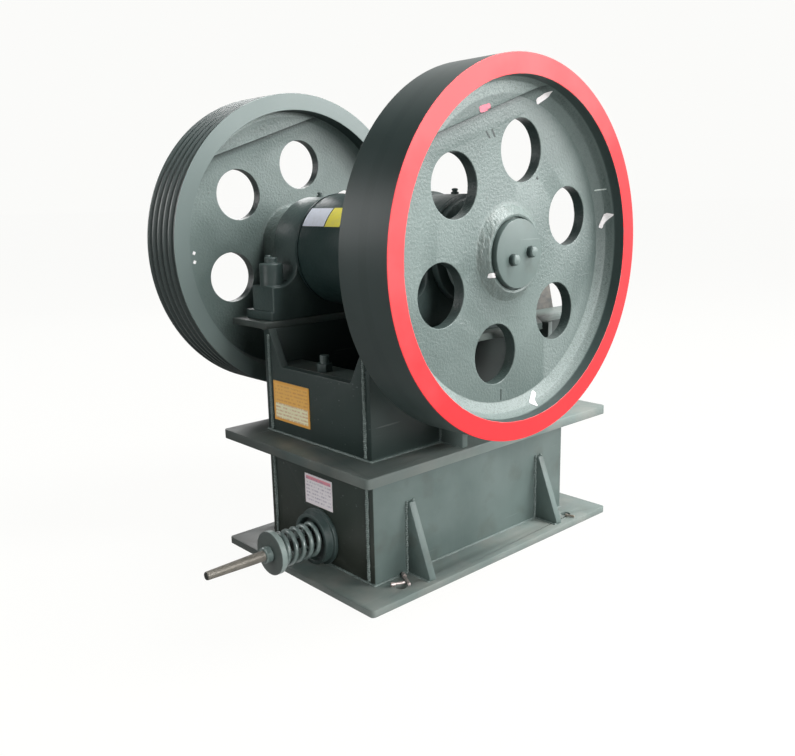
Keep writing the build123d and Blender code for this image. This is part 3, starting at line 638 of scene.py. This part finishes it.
# Painted shade: the rod is painted black inside the spring and on its end face.
spring_shade_from = -0.392
in_spring_shade = rod_paint.between(rod_paint.x, spring_shade_from, spring_shade_from + 0.004)
shaded_end = rod_paint.between(rod_paint.x, rod_lo.x + 0.0016, rod_lo.x + 0.0006, 0, 1)
rod_steel = rod_paint.surface(
    Base_Color=rod_paint.mix(in_spring_shade + shaded_end, mill, (0.020, 0.022, 0.018)), Metallic=0.35,
    Roughness=rod_paint.between(rod_paint.noise(5, 3), 0.3, 0.7, 0.34, 0.5))
rod_z = (rod_lo.z + rod_hi.z) / 2 * 1000
rod_radius, thread_end, eye_radius = 10, -260, 17
eye_x = rod_hi.x * 1000 - eye_radius
rod = threaded("threaded_rod", rod_lo.x * 1000, thread_end, rod_radius, 2, 0.75, rod_z, rod_steel)
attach(rod, "frame")
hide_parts("tension_rod")
shank_length = eye_x - rod_radius - thread_end
shank_outline = [(0, 0), (0, rod_radius - 1), (1, rod_radius), (shank_length, rod_radius),
                 (shank_length + 1, 0)]
shank = turned("rod_shank", shank_outline, (thread_end / 1000 - 0.0005, 0, rod_z / 1000),
               (1, 0, 0), 28, rod_steel)
eye_outline = [(-8, 8.5), (-7.5, 8), (7.5, 8), (8, 8.5), (8, eye_radius - 2), (6, eye_radius),
               (-6, eye_radius), (-8, eye_radius - 2), (-8, 8.5)]
eye = turned("rod_eye", eye_outline, (eye_x / 1000, 0, rod_z / 1000), (0, 1, 0), 36, rod_steel)
for piece in (shank, eye):
    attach(piece, "frame")

spring_paint = Coat("spring enamel")
scuffs = spring_paint.noise(12, 4)
colour = spring_paint.mix(spring_paint.between(scuffs, 0.4, 0.7),
                          (0.14, 0.19, 0.18), (0.23, 0.29, 0.275))
spring_enamel = spring_paint.surface(
    Base_Color=colour, Roughness=0.24, Specular_IOR_Level=0.7, Coat_Weight=0.4, Coat_Roughness=0.2,
    Normal=spring_paint.bump(spring_paint.noise(3, 2), 0.06))
washer_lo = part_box("spring_washer")[0]
collar = turned("rod_nut", [(0, 10), (0, 14), (1, 15.6), (12, 15.6), (13.5, 14), (13.5, 10)],
                (washer_lo.x, 0, rod_z / 1000), (-1, 0, 0), 36, spring_enamel)
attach(collar, "frame")
# Painted shade and light: the washer's face towards the rear is dark and its rim pale.
washer_paint = Coat("enamel on the spring washer")
shaded_face = washer_paint.between(washer_paint.x, washer_lo.x + 0.0018, washer_lo.x + 0.0008, 0, 1)
washer_enamel = washer_paint.surface(
    Base_Color=washer_paint.mix(shaded_face, (0.30, 0.37, 0.35), (0.072, 0.092, 0.085)), Roughness=0.35,
    Normal=washer_paint.bump(washer_paint.noise(3, 2), 0.08))
finished("spring_washer", washer_enamel, 1.5, 3)

spring_sizes = ("Turns", "Coil radius", "Length", "Wire radius")
winding = NodeTree("compression spring", {size: "NodeSocketFloat" for size in spring_sizes})
coil = winding.add("GeometryNodeCurveSpiral", {}, {
    "Resolution": 44, "Rotations": winding.given["Turns"], "Start Radius": winding.given["Coil radius"],
    "End Radius": winding.given["Coil radius"], "Height": winding.given["Length"]})
wire = winding.add("GeometryNodeCurvePrimitiveCircle", {"mode": "RADIUS"},
                   {"Resolution": 16, "Radius": winding.given["Wire radius"]})
wound = winding.add("GeometryNodeCurveToMesh", {},
                    {"Curve": coil, "Profile Curve": wire, "Fill Caps": True})
winding.end(winding.add("GeometryNodeSetShadeSmooth", {}, {"Geometry": wound}), spring_enamel)
spring_lo, spring_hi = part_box("tension_spring")
wire_gap = 0.005
spring = winding.make("wound_spring", [(0, 0, 0)], [], Turns=5.0, Coil_radius=0.030,
                      Length=spring_hi.x - spring_lo.x - 2 * wire_gap, Wire_radius=0.0049)
spring.data.transform(Matrix.Translation((spring_lo.x + wire_gap, 0, rod_z / 1000)) @
                      Matrix.Rotation(radians(90), 4, "Y"))
spring.data.set_sharp_from_angle(angle=radians(50))
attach(spring, "frame")
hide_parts("tension_spring")
finished("spring_cup", cast_enamel, 1.5, 3)

# Blank plates and stickers: a printed tin plate on the upper rear wall, a paper label on the lower
# one, and two plain stickers on the pitman's barrel. Faint rows of smudges stand for the print of
# the plate and the label, and nothing holds any letters.


def sheet(name, rows, thickness, material, body):
    """Thin closed piece that lies on a surface: rows of places with the way out of the surface."""
    shape = bmesh.new()
    under = [[shape.verts.new(place) for place, out in row] for row in rows]
    over = [[shape.verts.new(place + out * thickness) for place, out in row] for row in rows]
    last_row, last = len(rows) - 1, len(rows[0]) - 1
    rim = [(0, k) for k in range(last + 1)] + [(k, last) for k in range(1, last_row + 1)]
    rim += [(last_row, k) for k in range(last - 1, -1, -1)] + [(k, 0) for k in range(last_row - 1, 0, -1)]
    for layer in (under, over):
        for row, after in zip(layer, layer[1:]):
            for k in range(len(row) - 1):
                shape.faces.new((row[k], row[k + 1], after[k + 1], after[k]))
    for (row, k), (next_row, after) in zip(rim, rim[1:] + rim[:1]):
        shape.faces.new((under[row][k], under[next_row][after], over[next_row][after], over[row][k]))
    piece = shaded(name, shape, 40, material)
    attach(piece, body)
    return piece


def flat_label(name, place, wall_x, thickness, material):
    """Thin plate that lies on a rear wall. Its place is the least and largest Y, then Z."""
    lo_y, hi_y, lo_z, hi_z = place
    rows = [[(Vector((wall_x, y, z)), Vector((-1, 0, 0))) for y in (lo_y, hi_y)] for z in (lo_z, hi_z)]
    return sheet(name, rows, thickness, material, "frame")


def print_colour(name, place, border, ground, band, band_part, margin, ink):
    """Faded print of a label: a border, a band and rows of smudges that hold no letters."""
    paint = Coat(name)
    lo_y, hi_y, lo_z, hi_z = place
    band_lo, band_hi = (lo_z + (hi_z - lo_z) * part for part in band_part)
    row_height, row_ink = 0.0036, 0.0019
    inside = (paint.y > lo_y + margin) * (paint.y < hi_y - margin)
    inside = inside * (paint.z > lo_z + margin) * (paint.z < hi_z - margin)
    colour = paint.mix(inside, border, ground)
    strip = (paint.z > band_lo) * (paint.z < band_hi)
    colour = paint.mix(inside * strip, colour, band)
    line = paint.z.maths("PINGPONG", row_height)
    smudges = paint.between(paint.noise(3.5, 3, (1, 1, 0.5)), 0.42, 0.56)
    colour = paint.mix(inside * (line > row_ink) * smudges * 0.55, colour, ink)
    faded = paint.between(paint.noise(20, 4), 0.35, 0.75)
    colour = paint.mix(faded * 0.06, colour, (0.62, 0.58, 0.50))
    return paint.surface(Base_Color=colour, Roughness=0.38)


tin_place = (0.0176, 0.135, 0.278, 0.3586)
printed_tin = print_colour(
    "printed tin", tin_place, border=(0.86, 0.42, 0.07), ground=(0.90, 0.50, 0.11),
    band=(0.92, 0.86, 0.58), band_part=(0.06, 0.45), margin=0.005, ink=(0.62, 0.24, 0.07))
flat_label("blank_tin_plate", tin_place, upper_lo.x, 0.0012, printed_tin)
paper_place = (-0.043, 0.0426, 0.1247, 0.1855)
faded_paper = print_colour(
    "faded paper", paper_place, border=(0.93, 0.86, 0.89), ground=(0.94, 0.89, 0.92),
    band=(0.90, 0.34, 0.42), band_part=(0.82, 0.96), margin=0.004, ink=(0.36, 0.30, 0.42))
flat_label("blank_paper_label", paper_place, lower_lo.x, 0.0006, faded_paper)

barrel_radius = 0.1125


def sticker(name, lo_y, hi_y, low, high, colour):
    """Curved sticker on the pitman's barrel, between two angles about its axis."""
    rows = []
    for k in range(9):
        angle = radians(low + (high - low) * k / 8)
        out = Vector((cos(angle), 0, sin(angle)))
        rows.append([(Vector((barrel.x, y, barrel.z)) + out * barrel_radius, out) for y in (lo_y, hi_y)])
    paint = Coat(name.replace("_", " "))
    worn = paint.between(paint.noise(10, 4), 0.45, 0.8)
    colour = paint.mix(worn * 0.25, colour, (0.42, 0.43, 0.40))
    return sheet(name, rows, 0.0004, paint.surface(Base_Color=colour, Roughness=0.35), "pitman")


sticker("blank_white_sticker", 0.061, 0.129, 131, 153, (0.72, 0.75, 0.84))
sticker("blank_yellow_sticker", 0.012, 0.057, 130.6, 153.3, (0.86, 0.76, 0.10))

# Marks on the wheels: white dabs made with a brush on the flywheel's web and hub and on the
# sheave's web, a pink smear on the balance weight, dark spots where the enamel is off, and a pale
# scratch. Each is a thin skin of paint that follows the surface under it.

dab_paint = Coat("brushed white paint")
whites = dab_paint.between(dab_paint.noise(5, 3), 0.4, 0.7)
white_dab = dab_paint.surface(
    Base_Color=dab_paint.mix(whites, (0.95, 0.92, 0.92), (0.86, 0.80, 0.80)), Roughness=0.5)
pink_smear = Coat("pink paint smear").surface(Base_Color=(0.72, 0.16, 0.22), Roughness=0.5)
dark_spot = Coat("bare spots in the paint").surface(Base_Color=(0.012, 0.022, 0.020), Roughness=0.5)
pale_scratch = Coat("scratch through the paint").surface(Base_Color=(0.50, 0.56, 0.53), Roughness=0.4)


def dab(name, start, end, width, wheel, from_y, material, seed):
    """Strip of paint with rounded ends between two points of a wheel, laid on the first surface
    that lies beyond from_y."""
    chance = random.Random(seed)
    skin = BVHTree.FromPolygons([v.co for v in wheel.data.vertices],
                                [p.vertices for p in wheel.data.polygons])
    start, end = Vector(start), Vector(end)
    across = (end - start).normalized()
    across = Vector((-across.y, across.x))
    rows, count = [], 10
    for k in range(count + 1):
        half = width / 2 * (0.92 + 0.12 * chance.random()) * (0.72 if k in (0, count) else 1)
        row = []
        for share in (-1, -0.5, 0, 0.5, 1):
            spot = start.lerp(end, k / count) + across * half * share
            place, out, _, _ = skin.ray_cast(Vector((spot.x, from_y, spot.y)), Vector((0, 1, 0)))
            row.append((place, out))
        rows.append(row)
    return sheet(name, rows, 0.0004, material, "rotor")


marks = (("white_dab_top", (-0.0345, 0.8638), (-0.0132, 0.8775), 0.011, white_dab),
         ("white_dab_right", (0.1595, 0.6478), (0.1694, 0.6744), 0.0085, white_dab),
         ("white_dab_low", (-0.0311, 0.3637), (-0.0475, 0.3445), 0.0095, white_dab),
         ("white_dab_hub", (-0.1665, 0.5835), (-0.150, 0.5848), 0.0085, white_dab),
         ("pink_smear_weight", (-0.190, 0.8425), (-0.165, 0.849), 0.010, pink_smear),
         ("chip_left", (-0.161, 0.8125), (-0.1516, 0.802), 0.0028, dark_spot),
         ("chip_right", (-0.1468, 0.816), (-0.1394, 0.804), 0.0034, dark_spot),
         ("chip_low", (-0.1199, 0.3833), (-0.1198, 0.363), 0.0024, dark_spot),
         ("chip_small", (-0.030, 0.741), (-0.027, 0.737), 0.004, dark_spot),
         ("scratch_right", (0.1385, 0.717), (0.1555, 0.719), 0.0022, pale_scratch))
for seed, (name, start, end, width, material) in enumerate(marks, 1):
    dab(name, start, end, width, flywheel, flywheel_lo.y - 0.05, material, seed)
for number, height in enumerate((0.5904, 0.6086), 1):
    dab(f"sheave_chip_{number}", (-0.352, height - 0.003), (-0.349, height + 0.003), 0.006,
        sheave, 0.24, white_dab, len(marks) + number)

# Floor, light and camera: a white sweep with a faint shadow, broad soft lights before, above and
# beside the flywheel and weak ones behind, and the camera where the photograph was taken. What
# the enamel mirrors is bright on the far left only, and dark elsewhere.

far_left = (-0.75, 0.66, 0)
reach = 60
floor_shape = bmesh.new()
for x, y in ((-reach, -reach), (reach, -reach), (reach, reach), (-reach, reach)):
    floor_shape.verts.new((x, y, 0))
floor_shape.faces.new(floor_shape.verts)
floor_mesh = bpy.data.meshes.new("floor")
floor_shape.to_mesh(floor_mesh)
floor_shape.free()
floor = bpy.data.objects.new("floor", floor_mesh)
scene.collection.objects.link(floor)
backdrop = Coat("white floor")
camera_ray, glossy_ray = (backdrop.node("ShaderNodeLightPath", output=f"Is {kind} Ray")
                          for kind in ("Camera", "Glossy"))
leftwards = backdrop.node("ShaderNodeVectorMath", {"operation": "DOT_PRODUCT"},
                          {0: backdrop.place, 1: far_left}, "Value")
bright = backdrop.between(leftwards, 0.1, 0.5, 1.0, 0.06)
seen = camera_ray.maths("MAXIMUM", glossy_ray * bright)
matt = backdrop.node("ShaderNodeBsdfDiffuse", {}, {"Color": (0.25, 0.25, 0.245)})
glow = backdrop.node("ShaderNodeEmission", {}, {"Color": (1, 1, 0.985), "Strength": 1.10})
blend = backdrop.node("ShaderNodeMixShader", {}, {0: seen * 0.87, 1: matt, 2: glow})
backdrop.feed(backdrop.tree.nodes["Material Output"].inputs["Surface"], blend)
backdrop.tree.nodes.remove(backdrop.shader)
floor_mesh.materials.append(backdrop.material)


class Sky(Coat):
    """What lies around the floor, seen by the camera or mirrored in the enamel."""

    def __init__(self, name):
        self.material = bpy.data.worlds.new(name)
        self.material.use_nodes = True
        self.tree = self.material.node_tree
        self.shader = self.tree.nodes["Background"]
        self.place = self.node("ShaderNodeTexCoord", output="Generated")


studio = Sky("studio")
camera_ray, glossy_ray, clear_ray = (studio.node("ShaderNodeLightPath", output=f"Is {kind} Ray")
                                     for kind in ("Camera", "Glossy", "Transmission"))
leftwards = studio.node("ShaderNodeVectorMath", {"operation": "DOT_PRODUCT"},
                        {0: studio.place, 1: far_left}, "Value")
lit = studio.between(leftwards, 0.0, 0.55, 1.0, 0.04).maths("MAXIMUM", camera_ray)
white = studio.node("ShaderNodeVectorMath", {"operation": "SCALE"},
                    {0: (0.965, 0.965, 0.95), "Scale": lit})
seen = camera_ray.maths("MAXIMUM", glossy_ray).maths("MAXIMUM", clear_ray)
studio.surface(Color=studio.mix(seen, (0.055, 0.056, 0.057), white))
scene.world = studio.material


def lamp(name, place, target, size, power):
    """Round area light of this size in metres and power in watts, turned to its target."""
    light = bpy.data.lights.new(name, "AREA")
    light.shape, light.size, light.energy = "DISK", size, power
    holder = bpy.data.objects.new(name, light)
    holder.location = place
    holder.rotation_euler = (Vector(target) - Vector(place)).to_track_quat("-Z", "Y").to_euler()
    scene.collection.objects.link(holder)


lamp("key light", (3.0, -3.2, 2.1), (0, 0, 0.5), 3.0, 198)
lamp("front light", (-0.8, -4.0, 1.5), (0, 0, 0.4), 1.6, 108)
lamp("top light", (1.2, -1.6, 3.9), (0, -0.1, 0.2), 1.6, 200)
lamp("fill light", (-3.4, 0.5, 1.5), (0, 0, 0.4), 1.6, 32)
lamp("back light", (1.5, 3.4, 2.0), (0, 0, 0.5), 1.4, 28)
lamp("rear light", (-2.2, 3.4, 1.6), (0, 0, 0.4), 1.8, 34)

camera = bpy.data.objects.new("camera", bpy.data.cameras.new("camera"))
scene.collection.objects.link(camera)
camera.data.lens, camera.data.sensor_width = 37.46, 36
camera.location = (-1.1959, -1.2314, 0.7135)
heading, downward, roll = -42.43, 12.38, -1.14
turn = (Matrix.Rotation(radians(heading), 3, "Z") @
        Matrix.Rotation(radians(90 - downward), 3, "X") @
        Matrix.Rotation(radians(roll), 3, "Z"))
camera.rotation_euler = turn.to_euler()
scene.camera = camera
scene.view_settings.view_transform = "Standard"


def plain(value):
    """Bounds as lists of plain numbers."""
    return [[float(n) for n in corner] for corner in value]
